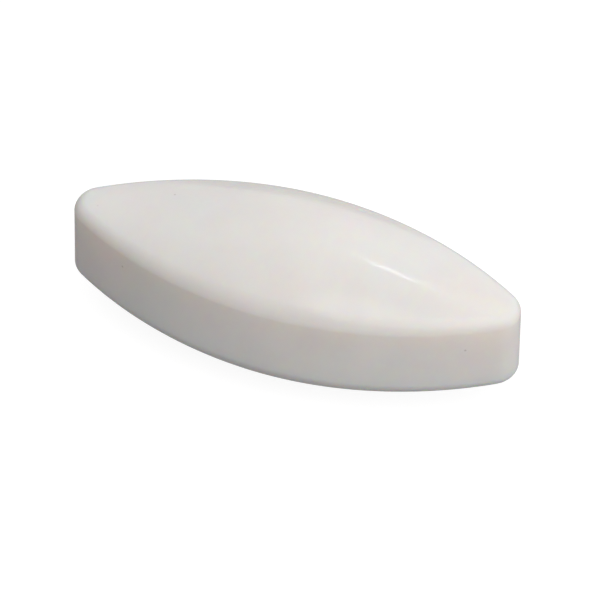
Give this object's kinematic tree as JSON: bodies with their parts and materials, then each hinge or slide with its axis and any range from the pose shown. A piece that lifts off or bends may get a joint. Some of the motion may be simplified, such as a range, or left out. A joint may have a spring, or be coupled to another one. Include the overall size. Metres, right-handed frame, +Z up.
{
  "type": "magnetic stir bar",
  "caption": "Lens-shaped magnetic stir bar: a rod magnet sealed in a seamless white PTFE jacket with a straight side band and crowned faces.",
  "frame": {"origin": "the point under the middle of the bar where the lower crown touches the surface it rests on", "axes": "+X along the bar, +Y across it, +Z up through the middle of the crowns"},
  "size_m": [0.05, 0.019, 0.0168],
  "materials": {
    "ptfe": "smooth, slightly translucent",
    "alnico": "cast and ground"
  },
  "bodies": {
    "root": {"ptfe_jacket": "ptfe", "bar_magnet": "alnico"}
  },
  "joints": []
}
